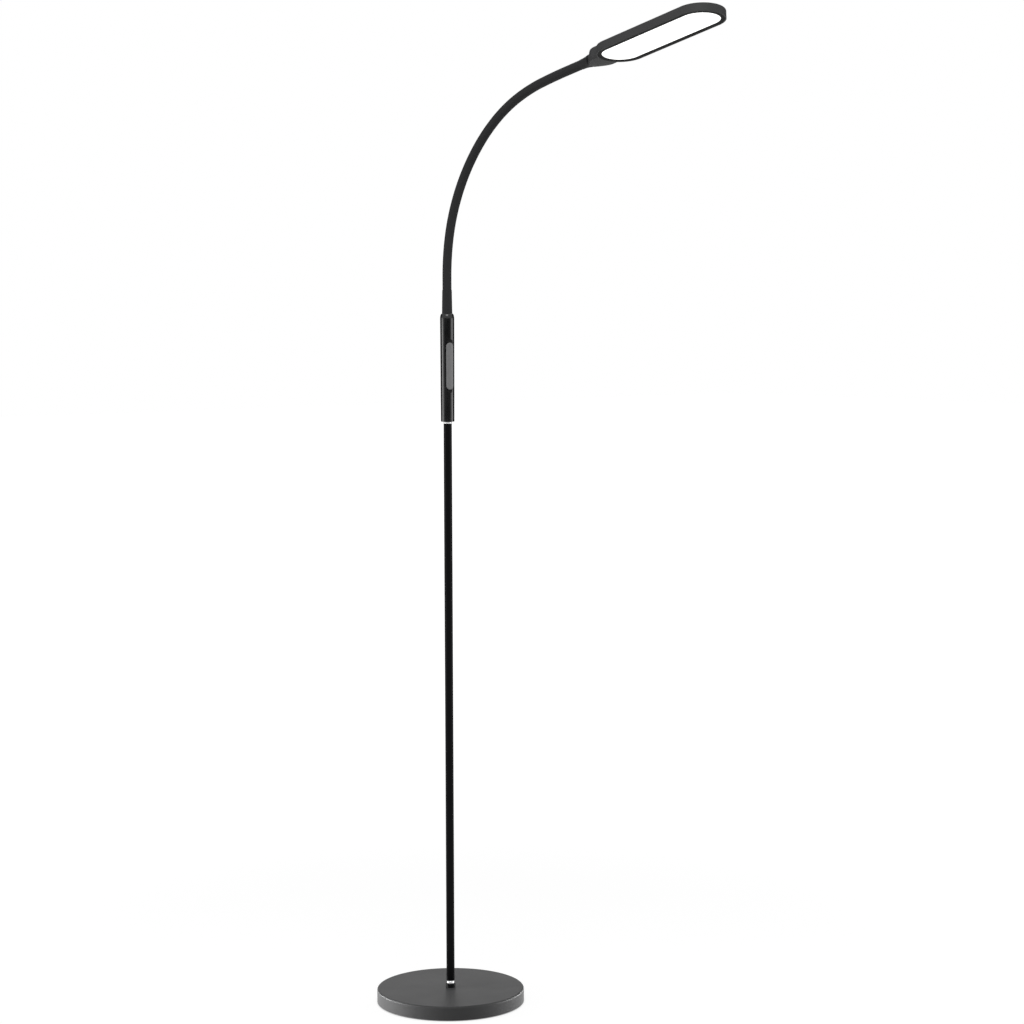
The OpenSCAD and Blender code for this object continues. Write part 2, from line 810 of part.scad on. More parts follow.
// outside of the head: a racetrack slab with a rounded upper edge
module head_slab() {
    r = head_edge_r;
    half = head_w / 2;
    straight = head_l - head_w;
    edge = concat(
        [[half - 0.6, head_bottom], [half, head_bottom + 0.6]],
        arc([half - r, head_top - r], r, 0, 90, 8)
    );
    right = concat([[0, head_bottom]], edge, [[0, head_top]]);
    mirrored = [for (k = [len(edge) - 1:-1:0]) [-edge[k][0], edge[k][1]]];
    translate([block_l + half, 0, 0]) {
        rotate([0, 0, 90]) rotate_extrude(angle = 180, $fn = 144) polygon(right);
        translate([straight, 0, 0]) rotate([0, 0, -90]) rotate_extrude(angle = 180, $fn = 144) polygon(right);
        rotate([90, 0, 90]) linear_extrude(straight) polygon(concat(edge, mirrored));
    }
}

// rounded corner of a polygon: an arc of radius r at point b between a and c
function fillet(a, b, c, r, n) =
    let (
        u = (a - b) / norm(a - b),
        v = (c - b) / norm(c - b),
        half = acos(u * v) / 2,
        mid = (u + v) / norm(u + v),
        centre = b + mid * r / sin(half),
        from = b + u * r / tan(half) - centre,
        to = b + v * r / tan(half) - centre,
        a0 = atan2(from[1], from[0]),
        turn = atan2(from[0] * to[1] - from[1] * to[0], from * to)
    )
    [for (k = [0:n]) centre + r * [cos(a0 + turn * k / n), sin(a0 + turn * k / n)]];

function filleted(points, r, n) = let (m = len(points))
    [for (k = [0:m - 1]) each fillet(points[(k + m - 1) % m], points[k], points[(k + 1) % m], r, n)];

// share of a change that eases in and out
function ease(t) = (1 - cos(180 * min(t, 1))) / 2;

// half width and roof of the neck block at distance x from the ferrule
function block_half(x) =
    (block_mouth_w + (block_w - block_mouth_w) * ease(pow(x / block_flare_l, 0.85))) / 2;
function block_roof(x) = x < block_l
    ? block_mouth_top + (block_top - block_mouth_top) * ease(pow(x / block_l, 1.6))
    : block_top - (block_top - head_top + 0.5) * ease(max(0, x - block_l - block_crown_l) / block_fade_l);

// block that takes the spindle and fairs into the head: plan, side and end outlines, crossed,
// with a cone that rounds the corners off towards the ferrule
module neck_block() {
    into = block_l + block_crown_l + block_fade_l + 6;
    steps = 24;
    along = [for (k = [0:steps]) swivel_gap + (into - swivel_gap) * k / steps];
    half = block_w / 2;
    chin = 0.6;
    side_a = [for (x = along) [x, -block_half(x)]];
    side_b = [for (k = [steps:-1:0]) [along[k], block_half(along[k])]];
    roof = [for (k = [steps:-1:0]) [along[k], block_roof(along[k])]];
    intersection() {
        translate([0, 0, head_bottom]) linear_extrude(block_top - head_bottom) polygon(concat(side_a, side_b));
        rotate([90, 0, 0]) linear_extrude(block_w + 2 * cut, center = true)
            polygon(concat([[swivel_gap, head_bottom + chin], [7, head_bottom], [into, head_bottom]], roof));
        rotate([90, 0, 90]) linear_extrude(into)
            polygon(filleted([
                [half, head_bottom], [half, block_top], [-half, block_top], [-half, head_bottom]
            ], block_round, 5));
        rotate([0, 90, 0]) cylinder(r1 = top_ferrule_d / 2, r2 = top_ferrule_d / 2 + 0.9 * into, h = into);
    }
}

module head_housing() {
    duct_w = 11;
    duct_floor = 3;
    duct_x = swivel_wall + swivel_washer_t + swivel_nut_h;
    color("#48484a") in_head() difference() {
        union() {
            head_slab();
            neck_block();
        }
        head_plate(head_wall, head_bottom - cut, roof_z - head_bottom + cut);
        // bore and pocket of the swivel, and the lead's way into the head
        rotate([0, 90, 0]) cylinder(r = spindle_r + fit, h = swivel_wall + cut);
        translate([swivel_wall, 0, 0]) rotate([0, 90, 0])
            cylinder(r = swivel_pocket_r, h = swivel_washer_t + swivel_nut_h + 3);
        translate([duct_x, -duct_w / 2, head_bottom + duct_floor])
            cube([block_l + border_w - duct_x, duct_w, lead_r + 0.8 - head_bottom - duct_floor]);
    }
}

module led_board() {
    color("whitesmoke") in_head() head_plate(border_w - diffuser_flange_w, led_z, led_board_t);
}

module led_chips() {
    pitch_x = (lit_l - lit_w * 0.6) / (led_columns - 1);
    pitch_y = lit_w / (led_rows + 0.6);
    color("khaki") in_head() for (i = [0:led_columns - 1])
        for (j = [0:led_rows - 1])
            translate([
                block_l + head_l / 2 + (i - (led_columns - 1) / 2) * pitch_x - led_size[0] / 2,
                (j - (led_rows - 1) / 2) * pitch_y - led_size[1] / 2,
                led_z - led_size[2]
            ]) cube(led_size);
}

// white ring wall between the board and the diffuser
module reflector() {
    color("white") in_head() difference() {
        head_plate(border_w - diffuser_flange_w, reflector_z, led_z - reflector_z);
        head_plate(border_w - diffuser_flange_w + 1.2, reflector_z - cut, led_z - reflector_z + 2 * cut);
    }
}

// stepped panel: its flange lies on the bezel and its face fills the opening
module diffuser() {
    color("white") in_head() {
        head_plate(border_w - diffuser_flange_w, diffuser_z, diffuser_flange_t);
        head_plate(border_w + slip, head_bottom + diffuser_recess, bezel_t - diffuser_recess);
    }
}

module bezel() {
    color("#2c2c2e") in_head() difference() {
        head_plate(head_wall + slip, head_bottom, bezel_t);
        head_plate(border_w, head_bottom - cut, bezel_t + 2 * cut);
    }
}

base_pad();
base_plate();
plate_screws();
base_weight();
base_cover();
inlet_jack();
inlet_nut();
pole_stud();
stud_washer();
stud_lock_washer();
stud_nut();
pole_collar();
foot_ring();
pole_plug();
pole_lower();
pole_middle();
pole_upper();
lower_nipple();
upper_nipple();
power_lead();
handset_ring();
handset_nipple();
handset_nut();
handset_front();
handset_rear();
handset_screws();
circuit_board();
driver_parts();
key_switches();
key_bracket();
key_pin();
control_key();
lower_ferrule();
for (i = [1:segments])
    neck_segment(i - 1);
neck_lead();
upper_ferrule();
swivel_spindle();
swivel_washer();
swivel_nut();
head_housing();
led_board();
led_chips();
reflector();
diffuser();
bezel();
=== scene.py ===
import math

import bmesh
import bpy
from mathutils import Matrix, Vector


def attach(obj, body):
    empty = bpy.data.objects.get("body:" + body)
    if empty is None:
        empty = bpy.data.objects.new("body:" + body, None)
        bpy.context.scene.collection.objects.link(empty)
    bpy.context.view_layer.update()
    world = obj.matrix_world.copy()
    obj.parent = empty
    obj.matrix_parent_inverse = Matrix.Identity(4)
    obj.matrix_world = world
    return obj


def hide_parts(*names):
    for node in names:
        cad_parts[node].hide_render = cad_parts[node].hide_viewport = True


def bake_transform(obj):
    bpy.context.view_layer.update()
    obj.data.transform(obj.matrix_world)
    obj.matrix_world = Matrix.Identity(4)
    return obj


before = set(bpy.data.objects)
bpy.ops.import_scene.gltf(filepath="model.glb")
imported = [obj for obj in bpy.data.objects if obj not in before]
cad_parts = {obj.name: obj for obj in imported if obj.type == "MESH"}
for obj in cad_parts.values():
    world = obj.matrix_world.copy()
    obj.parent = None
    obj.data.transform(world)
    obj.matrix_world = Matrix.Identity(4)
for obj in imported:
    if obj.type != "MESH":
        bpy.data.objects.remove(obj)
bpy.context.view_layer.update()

# ---- camera -----------------------------------------------------------------
# A long lens at table height, a few metres away, looking slightly down, so the
# whole lamp from base to head is seen from its key's side.
bpy.ops.object.select_all(action="DESELECT")
bpy.ops.object.camera_add()
camera = bpy.context.object
camera.name = "camera"
camera.data.sensor_width = 36.0
camera.data.lens = 87.89
camera.data.clip_start, camera.data.clip_end = 0.1, 60.0
camera_at, heading, tilt, roll = (3.0429, -2.3602, 1.0809), 50.734, 85.375, -0.18
camera.matrix_world = (
    Matrix.Translation(camera_at)
    @ Matrix.Rotation(math.radians(heading), 4, "Z")
    @ Matrix.Rotation(math.radians(tilt), 4, "X")
    @ Matrix.Rotation(math.radians(roll), 4, "Z")
)
bpy.context.scene.camera = camera
bpy.context.scene.view_settings.view_transform = "Standard"

# ---- studio -----------------------------------------------------------------
# A white room: floor and surroundings read as plain white, while the light that
# falls on the lamp comes from the room at a plain level and three soft boxes. Two low
# strips are flagged off all but the base, and black cards darken the glossy edges.


def add_node(tree, kind, **values):
    """Adds a node to a node tree and sets its named settings and its named inputs."""
    node = tree.nodes.new(kind)
    for name, value in values.items():
        if name in node.bl_rna.properties:
            setattr(node, name, value)
        else:
            node.inputs[name.replace("_", " ")].default_value = value
    return node


def seen_directly(tree):
    """Mask that is 1 for rays from the camera and for what glossy and clear surfaces show."""
    path = add_node(tree, "ShaderNodeLightPath")
    either = add_node(tree, "ShaderNodeMath", operation="MAXIMUM")
    every = add_node(tree, "ShaderNodeMath", operation="MAXIMUM")
    tree.links.new(path.outputs["Is Camera Ray"], either.inputs[0])
    tree.links.new(path.outputs["Is Glossy Ray"], either.inputs[1])
    tree.links.new(either.outputs[0], every.inputs[0])
    tree.links.new(path.outputs["Is Transmission Ray"], every.inputs[1])
    return every.outputs[0]


def switch(tree, mask, otherwise, seen):
    """Number that goes from one value to another with a mask."""
    between = add_node(tree, "ShaderNodeMapRange")
    between.inputs["To Min"].default_value = otherwise
    between.inputs["To Max"].default_value = seen
    tree.links.new(mask, between.inputs["Value"])
    return between.outputs["Result"]


room = bpy.data.worlds.new("white_room")
bpy.context.scene.world = room
room.use_nodes = True
air = room.node_tree
sky = air.nodes["Background"]
sky.inputs["Color"].default_value = (1, 1, 1, 1)
light_level, white_level = 0.32, 1.0
air.links.new(switch(air, seen_directly(air), light_level, white_level), sky.inputs["Strength"])

# The floor bounces light as pale grey. To the eye it glows white, except under and just around the base,
# where a fade by distance from the lamp's axis takes the glow away and so paints shade over the floor's own
# shadow in the gap; far off the glow rises a little, so that no horizon shows.
bounce_grey, seen_grey = (0.75, 0.75, 0.75, 1), (0.24, 0.24, 0.24, 1)
painted_shade_fade, far_glow = (0.108, 0.117, 0.86), (0.7, 2.6, 0.14)
floor_paint = bpy.data.materials.new("studio_floor")
floor_paint.use_nodes = True
tree = floor_paint.node_tree
tree.nodes.clear()
mask = seen_directly(tree)
matt = add_node(tree, "ShaderNodeBsdfDiffuse")
shade = add_node(tree, "ShaderNodeMix", data_type="RGBA")
shade.inputs["A"].default_value = bounce_grey
shade.inputs["B"].default_value = seen_grey
glow = add_node(tree, "ShaderNodeEmission")
both = add_node(tree, "ShaderNodeAddShader")
out = add_node(tree, "ShaderNodeOutputMaterial")
tree.links.new(mask, shade.inputs["Factor"])
tree.links.new(shade.outputs["Result"], matt.inputs["Color"])
spot = add_node(tree, "ShaderNodeTexCoord")
reach = add_node(tree, "ShaderNodeVectorMath", operation="LENGTH")
tree.links.new(spot.outputs["Object"], reach.inputs[0])
# Close to the base the glow fades out by distance, which paints shade under and just around its edge.
near_and_far = add_node(tree, "ShaderNodeMath", operation="ADD")
for socket, (start, end, level) in zip(near_and_far.inputs, (painted_shade_fade, far_glow)):
    fade = add_node(tree, "ShaderNodeMapRange", interpolation_type="SMOOTHSTEP")
    for setting, value in (("From Min", start), ("From Max", end), ("To Min", 0.0), ("To Max", level)):
        fade.inputs[setting].default_value = value
    tree.links.new(reach.outputs["Value"], fade.inputs["Value"])
    tree.links.new(fade.outputs["Result"], socket)
white = add_node(tree, "ShaderNodeMath", operation="MULTIPLY")
tree.links.new(near_and_far.outputs[0], white.inputs[0])
tree.links.new(mask, white.inputs[1])
tree.links.new(white.outputs[0], glow.inputs["Strength"])
tree.links.new(matt.outputs[0], both.inputs[0])
tree.links.new(glow.outputs[0], both.inputs[1])
tree.links.new(both.outputs[0], out.inputs["Surface"])

bpy.ops.object.select_all(action="DESELECT")
floor_size, floor_z = 40, -0.0002
bpy.ops.mesh.primitive_plane_add(size=floor_size, location=(0, 0, floor_z))
floor = bpy.context.object
floor.name = "studio_floor"
floor.data.materials.append(floor_paint)


def soft_box(name, azimuth, distance, height, wide, tall, brightness, aim=0.8):
    """Adds a soft box of a given brightness, turned to a point on the lamp's axis."""
    a = math.radians(azimuth)
    place = Vector((distance * math.cos(a), distance * math.sin(a), height))
    lamp = bpy.data.lights.new(name, "AREA")
    lamp.shape = "RECTANGLE"
    lamp.size, lamp.size_y = wide, tall
    lamp.energy = brightness * math.pi * wide * tall
    box = bpy.data.objects.new(name, lamp)
    bpy.context.scene.collection.objects.link(box)
    box.location = place
    box.rotation_mode = "QUATERNION"
    box.rotation_quaternion = (Vector((0, 0, aim)) - place).to_track_quat("-Z", "Y")
    box.visible_camera = False
    return box


soft_box("left_box", azimuth=-125, distance=2.6, height=0.62, wide=1.15, tall=1.05, brightness=3.5)
soft_box("right_box", azimuth=49, distance=2.6, height=0.62, wide=1.3, tall=1.05, brightness=2.6)
soft_box("top_box", azimuth=-40, distance=2.2, height=3.2, wide=2.0, tall=2.0, brightness=3.8)
skirt_strips = [
    soft_box(name, azimuth, distance=1.0, height=0.1, wide=1.2, tall=0.2, brightness=bright, aim=0.01)
    for name, azimuth, bright in (("low_left_box", -134, 44), ("low_right_box", 70, 27))
]

card_black = bpy.data.materials.new("studio_card")
card_black.use_nodes = True
shader = card_black.node_tree.nodes["Principled BSDF"]
shader.inputs["Base Color"].default_value = (0.02, 0.02, 0.02, 1)
shader.inputs["Roughness"].default_value = 1.0


def dark_card(name, azimuth, distance, wide, low, high):
    """Stands a black card beside the set; only glossy surfaces see it."""
    bpy.ops.object.select_all(action="DESELECT")
    bpy.ops.mesh.primitive_plane_add(size=1)
    card = bpy.context.object
    card.name = name
    a = math.radians(azimuth)
    card.matrix_world = (
        Matrix.Translation((distance * math.cos(a), distance * math.sin(a), (low + high) / 2))
        @ Matrix.Rotation(a, 4, "Z") @ Matrix.Rotation(math.pi / 2, 4, "Y")
        @ Matrix.Diagonal((high - low, wide, 1, 1))
    )
    bpy.ops.object.transform_apply(location=True, rotation=True, scale=True)
    card.data.materials.append(card_black)
    card.visible_camera = card.visible_diffuse = card.visible_transmission = card.visible_shadow = False


dark_card("front_card", azimuth=-37.8, distance=4.6, wide=12.0, low=0.42, high=1.35)
dark_card("back_left_card", azimuth=-174.5, distance=4.0, wide=5.2, low=0.0, high=3.4)
dark_card("back_right_card", azimuth=97, distance=4.0, wide=5.6, low=0.0, high=3.4)

# ---- base pad, plate, screws and weight -------------------------------------
# The underside: a foam pad glued to a zinc-plated steel plate, and four screws
# that hold the plate to the cast-iron weight inside the cover.


def new_socket(group, name, way, kind="NodeSocketFloat", value=None):
    """Adds a named socket to a node group's interface."""
    socket = group.interface.new_socket(name, in_out=way, socket_type=kind)
    if value is not None:
        socket.default_value = value


def grain_group():
    """Node group of a made surface: fine grain for relief and a slow cloud for colour and gloss."""
    group = bpy.data.node_groups.new("made_surface", "ShaderNodeTree")
    new_socket(group, "Grain Size", "INPUT", value=0.001)
    new_socket(group, "Cloud Size", "INPUT", value=0.03)
    new_socket(group, "Stretch", "INPUT", "NodeSocketVector", value=(1, 1, 1))
    new_socket(group, "Grain", "OUTPUT")
    new_socket(group, "Cloud", "OUTPUT")
    start = add_node(group, "NodeGroupInput")
    end = add_node(group, "NodeGroupOutput")
    place = add_node(group, "ShaderNodeTexCoord")
    drawn = add_node(group, "ShaderNodeVectorMath", operation="MULTIPLY")
    group.links.new(place.outputs["Object"], drawn.inputs[0])
    group.links.new(start.outputs["Stretch"], drawn.inputs[1])
    for size, detail, target in (("Grain Size", 2.0, "Grain"), ("Cloud Size", 3.0, "Cloud")):
        pitch = add_node(group, "ShaderNodeMath", operation="DIVIDE")
        pitch.inputs[0].default_value = 1.0
        noise = add_node(group, "ShaderNodeTexNoise", Detail=detail)
        group.links.new(start.outputs[size], pitch.inputs[1])
        group.links.new(pitch.outputs[0], noise.inputs["Scale"])
        group.links.new(drawn.outputs[0], noise.inputs["Vector"])
        group.links.new(noise.outputs["Fac"], end.inputs[target])
    return group


made_surface = grain_group()


def make_finish(name, dark, light, gloss, grain=0.001, cloud=0.03, depth=0.00003,
                stretch=(1, 1, 1), metal=0.0, shine=0.5):
    """Starts one finish of the lamp: two close shades, two roughnesses and a fine relief."""
    finish = bpy.data.materials.new(name)
    finish.use_nodes = True
    tree = finish.node_tree
    shader = tree.nodes["Principled BSDF"]
    surface = add_node(tree, "ShaderNodeGroup")
    surface.node_tree = made_surface
    surface.inputs["Grain Size"].default_value = grain
    surface.inputs["Cloud Size"].default_value = cloud
    surface.inputs["Stretch"].default_value = stretch
    tone = add_node(tree, "ShaderNodeMix", data_type="RGBA")
    tone.inputs["A"].default_value = (*dark, 1)
    tone.inputs["B"].default_value = (*light, 1)
    thin_cloud, thick_cloud = 0.3, 0.7
    rough = add_node(tree, "ShaderNodeMapRange")
    rough.inputs["From Min"].default_value = thin_cloud
    rough.inputs["From Max"].default_value = thick_cloud
    rough.inputs["To Min"].default_value, rough.inputs["To Max"].default_value = gloss
    relief = add_node(tree, "ShaderNodeBump", Strength=1.0, Distance=depth)
    tree.links.new(surface.outputs["Cloud"], tone.inputs["Factor"])
    tree.links.new(tone.outputs["Result"], shader.inputs["Base Color"])
    tree.links.new(surface.outputs["Cloud"], rough.inputs["Value"])
    tree.links.new(rough.outputs["Result"], shader.inputs["Roughness"])
    tree.links.new(surface.outputs["Grain"], relief.inputs["Height"])
    tree.links.new(relief.outputs["Normal"], shader.inputs["Normal"])
    shader.inputs["Metallic"].default_value = metal
    shader.inputs["Specular IOR Level"].default_value = shine
    return finish


def dress(finish, *nodes):
    """Gives CAD nodes their finish."""
    for node in nodes:
        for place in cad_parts[node].material_slots:
            place.material = finish


pad_foam = make_finish("pad_foam", (0.012, 0.012, 0.013), (0.022, 0.022, 0.023),
                       (0.85, 0.95), grain=0.0012, depth=0.0003, shine=0.3)
plate_steel = make_finish("plate_steel", (0.42, 0.43, 0.44), (0.55, 0.56, 0.57),
                          (0.28, 0.42), grain=0.002, cloud=0.02, metal=1.0)
zinc_steel = make_finish("zinc_steel", (0.50, 0.51, 0.53), (0.62, 0.62, 0.61),
                         (0.25, 0.40), grain=0.0006, cloud=0.004, metal=1.0)
weight_iron = make_finish("weight_iron", (0.035, 0.034, 0.034), (0.060, 0.058, 0.056),
                          (0.6, 0.8), grain=0.0016, depth=0.0004)
dress(pad_foam, "base_pad")
dress(plate_steel, "base_plate")
dress(zinc_steel, "plate_screws")
dress(weight_iron, "base_weight")

# ---- base cover --------------------------------------------------------------
# Spun sheet-steel shell with a rolled upper edge, in satin charcoal powder paint.
# It drops over the weight, and the pole's stud clamps its middle.


def pick(piece, part, test):
    """In edit mode, selects the vertices, edges or faces whose corners all pass the test."""
    kinds = {"verts": "VERT", "edges": "EDGE", "faces": "FACE"}
    bpy.ops.mesh.select_mode(type=kinds[part])
    bpy.ops.mesh.select_all(action="DESELECT")
    mesh = bmesh.from_edit_mesh(piece.data)
    for item in getattr(mesh, part):
        corners = [item] if part == "verts" else item.verts
        item.select_set(all(test(corner.co) for corner in corners))
    bmesh.update_edit_mesh(piece.data)


def turn(name, section, sides=96):
    """Turns a ring or rod about the upright axis: a circle is drawn from corner to corner
    of the section, given as (radius, height), and its last ring is bridged to its first."""
    bpy.ops.object.select_all(action="DESELECT")
    (radius, height), *rest = section
    bpy.ops.mesh.primitive_circle_add(vertices=sides, radius=radius)
    piece = bpy.context.object
    piece.name = name
    bpy.ops.object.mode_set(mode="EDIT")
    bpy.ops.mesh.select_all(action="SELECT")
    bpy.ops.transform.translate(value=(0, 0, height))
    for r, z in rest:
        bpy.ops.mesh.extrude_edges_move(TRANSFORM_OT_translate={"value": (0, 0, z - height)})
        bpy.ops.transform.resize(value=(r / radius, r / radius, 1), center_override=(0, 0, z))
        radius, height = r, z
    bpy.ops.mesh.select_mode(type="EDGE")
    bpy.ops.mesh.select_all(action="DESELECT")
    bpy.ops.mesh.select_non_manifold()
    bpy.ops.mesh.bridge_edge_loops()
    bpy.ops.mesh.select_all(action="SELECT")
    bpy.ops.mesh.normals_make_consistent(inside=False)
    bpy.ops.object.mode_set(mode="OBJECT")
    return piece


def corner_arc(centre, radius, first, last, steps):
    """Points of a rounded corner of a section, from one angle to another."""
    angles = [math.radians(first + (last - first) * k / steps) for k in range(steps + 1)]
    return [(centre[0] + radius * math.cos(a), centre[1] + radius * math.sin(a)) for a in angles]


def modify(piece, kind, **values):
    """Adds a modifier to the piece and applies it."""
    bpy.ops.object.select_all(action="DESELECT")
    piece.select_set(True)
    bpy.context.view_layer.objects.active = piece
    change = piece.modifiers.new(kind.lower(), kind)
    for name, value in values.items():
        setattr(change, name, value)
    bpy.ops.object.modifier_apply(modifier=change.name)


def cut_away(piece, cutter):
    """Cuts a shape out of the piece and throws the cutter away."""
    modify(piece, "BOOLEAN", object=cutter, operation="DIFFERENCE", solver="EXACT")
    bpy.data.objects.remove(cutter)


def join_on(piece, added):
    """Makes a shape one with the piece and throws its own object away."""
    modify(piece, "BOOLEAN", object=added, operation="UNION", solver="EXACT")
    bpy.data.objects.remove(added)


def soften(piece, width, steps=3, angle=35):
    """Breaks the piece's sharp edges and shades its faces smoothly between them."""
    if width:
        modify(piece, "BEVEL", width=width, segments=steps, limit_method="ANGLE",
               angle_limit=math.radians(angle), harden_normals=False)
    bpy.ops.object.select_all(action="DESELECT")
    piece.select_set(True)
    bpy.context.view_layer.objects.active = piece
    bpy.ops.object.shade_smooth_by_angle(angle=math.radians(angle))
    modify(piece, "WEIGHTED_NORMAL", keep_sharp=True, weight=100)


def settle(piece, finish, slot, body, *nodes):
    """Finishes a piece: its place goes into its mesh, it gets its finish and the body it moves with,
    and it stands for the CAD nodes that it replaces. The slot name it is given is not used."""
    bpy.ops.object.select_all(action="DESELECT")
    piece.select_set(True)
    bpy.context.view_layer.objects.active = piece
    bpy.ops.object.transform_apply(location=True, rotation=True, scale=True)
    piece.data.materials.clear()
    piece.data.materials.append(finish)
    if body:
        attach(piece, body)
    if nodes:
        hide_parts(*nodes)


base_r, base_top, rim_r, sheet, pad_t = 0.115, 0.0225, 0.003, 0.0012, 0.0015
stud_hole_r, top_rings = 0.0042, (0.03, 0.08)
inlet_hole_r, inlet_z, hole_cut_l = 0.00405, 0.0105, 0.01
base_cover = turn("base_cover_shell", [
    (stud_hole_r, base_top),
    *[(r, base_top) for r in top_rings],
    *corner_arc((base_r - rim_r, base_top - rim_r), rim_r, 90, 0, 12),
    (base_r, pad_t),
    (base_r - sheet, pad_t),
    *corner_arc((base_r - rim_r, base_top - rim_r), rim_r - sheet, 0, 90, 8),
    (stud_hole_r, base_top - sheet),
], sides=256)
bpy.ops.object.select_all(action="DESELECT")
bpy.ops.mesh.primitive_cylinder_add(vertices=48, radius=inlet_hole_r, depth=hole_cut_l,
                                    location=(-base_r, 0, inlet_z), rotation=(0, math.pi / 2, 0))
cut_away(base_cover, bpy.context.object)
soften(base_cover, 0)
base_paint = make_finish("base_paint", (0.040, 0.040, 0.0405), (0.046, 0.046, 0.0465),
                         (0.41, 0.46), grain=0.0007, cloud=0.05, depth=0.00001, shine=0.12)
settle(base_cover, base_paint, "base_paint", "stand", "base_cover")
skirt_only = bpy.data.collections.new("seen_by_low_boxes")
skirt_only.objects.link(base_cover)
for strip in skirt_strips:
    strip.light_linking.receiver_collection = skirt_only

# ---- power inlet --------------------------------------------------------------
# A round 5.5 mm socket in black nylon, clamped through the skirt by its own nut;
# the contact pin in its bore is nickel-plated.
black_plastic = make_finish("black_plastic", (0.008, 0.008, 0.009), (0.014, 0.014, 0.015),
                            (0.35, 0.5), grain=0.0005, cloud=0.006, depth=0.00002)
contact_r, nickel = 0.0012, (0.62, 0.60, 0.56, 1)
tree = black_plastic.node_tree
shader = tree.nodes["Principled BSDF"]
place = add_node(tree, "ShaderNodeTexCoord")
from_axis = add_node(tree, "ShaderNodeVectorMath", operation="MULTIPLY_ADD")
from_axis.inputs[1].default_value = (0, 1, 1)
from_axis.inputs[2].default_value = (0, 0, -inlet_z)
reach = add_node(tree, "ShaderNodeVectorMath", operation="LENGTH")
plated = add_node(tree, "ShaderNodeMath", operation="LESS_THAN")
plated.inputs[1].default_value = contact_r
tone = add_node(tree, "ShaderNodeMix", data_type="RGBA")
tone.inputs["B"].default_value = nickel
tree.links.new(place.outputs["Object"], from_axis.inputs[0])
tree.links.new(from_axis.outputs[0], reach.inputs[0])
tree.links.new(reach.outputs["Value"], plated.inputs[0])
tree.links.new(plated.outputs[0], tone.inputs["Factor"])
tree.links.new(plated.outputs[0], shader.inputs["Metallic"])
tree.links.new(shader.inputs["Base Color"].links[0].from_socket, tone.inputs["A"])
tree.links.new(tone.outputs["Result"], shader.inputs["Base Color"])
dress(black_plastic, "inlet_jack")
dress(zinc_steel, "inlet_nut")

# ---- pole foot ----------------------------------------------------------------
# A hollow threaded stud comes up from a nut and washers under the weight; it clamps
# a low moulded collar, a polished ring in the collar's seat and the foot of the pole.
dress(zinc_steel, "pole_stud", "stud_nut", "stud_washer", "stud_lock_washer", "pole_plug")
pole_r, collar_r, collar_h, collar_edge, collar_foot_ease = 0.00635, 0.00755, 0.0065, 0.0006, 0.0002
ring_seat, foot_ring_t, ring_edge, slip_fit = 0.0005, 0.005, 0.0001, 0.00005
collar_top = base_top + collar_h
collar = turn("pole_foot_collar", [
    (stud_hole_r, base_top),
    (collar_r - collar_foot_ease, base_top),
    (collar_r, base_top + collar_foot_ease),
    *corner_arc((collar_r - collar_edge, collar_top - collar_edge), collar_edge, 0, 90, 8),
    (pole_r + slip_fit, collar_top),
    (pole_r + slip_fit, collar_top - ring_seat),
    (stud_hole_r, collar_top - ring_seat),
])
soften(collar, 0)
collar_plastic = make_finish("collar_plastic", (0.004, 0.004, 0.005), (0.007, 0.007, 0.008),
                             (0.12, 0.18), grain=0.0008, cloud=0.01, depth=0.000004, shine=0.3)
settle(collar, collar_plastic, "collar_plastic", "stand", "pole_collar")


def polished_ring(name, low, thick, bore, dome, widest):
    """Turns a ring of the pole's own width, with a domed face that is widest at a given height."""
    face = [math.radians(10 * k) for k in range(-8, 9)]
    rise = [(widest if a < 0 else thick - widest) - ring_edge for a in face]
    return turn(name, [
        (bore, low),
        *[(pole_r - dome + dome * math.cos(a), low + widest + h * math.sin(a)) for a, h in zip(face, rise)],
        (bore, low + thick),
    ])


ring_chrome = make_finish("ring_chrome", (0.86, 0.87, 0.88), (0.92, 0.92, 0.92),
                          (0.36, 0.42), grain=0.0006, cloud=0.004, depth=0.000004, metal=1.0)
foot_ring = polished_ring("foot_ring_chrome", collar_top - ring_seat, foot_ring_t,
                          stud_hole_r, dome=0.0018, widest=ring_seat)
soften(foot_ring, 0)
settle(foot_ring, ring_chrome, "ring_chrome", "stand", "foot_ring")

# ---- pole -----------------------------------------------------------------------
# Three lengths of thin steel tube in gloss black, screwed end to end on hidden
# nipples; each end is eased, so a fine line shows where two lengths meet.
pole_z, length, bore_r, ease = collar_top - ring_seat + foot_ring_t, 0.291, 0.00545, 0.00025
pole_paint = make_finish("pole_paint", (0.0035, 0.0035, 0.004), (0.006, 0.006, 0.0065),
                         (0.30, 0.35), grain=0.0015, cloud=0.05, depth=0.000006, shine=0.05)
for count, node in enumerate(("pole_lower", "pole_middle", "pole_upper")):
    foot = pole_z + count * length
    tube = turn(node + "_tube", [
        (bore_r, foot),
        *corner_arc((pole_r - ease, foot + ease), ease, -90, 0, 4),
        *corner_arc((pole_r - ease, foot + length - ease), ease, 0, 90, 4),
        (bore_r, foot + length),
    ])
    soften(tube, 0)
    settle(tube, pole_paint, "pole_paint", "stand", node)
dress(zinc_steel, "lower_nipple", "upper_nipple")
lead_pvc = make_finish("lead_pvc", (0.010, 0.010, 0.010), (0.018, 0.018, 0.018),
                       (0.4, 0.55), grain=0.0008, cloud=0.01)
dress(lead_pvc, "power_lead")

# ---- handset ring -----------------------------------------------------------------
# A polished chrome ring of the pole's own width between the pole and the handset,
# threaded on the nipple that comes up through the handset's floor.
pole_top, ring_t = pole_z + 3 * length, 0.003
ring = polished_ring("handset_ring_chrome", pole_top, ring_t, bore_r, dome=0.0006, widest=ring_t / 2)
soften(ring, 0)
settle(ring, ring_chrome, "ring_chrome", "stand", "handset_ring")
dress(zinc_steel, "handset_nipple", "handset_nut")

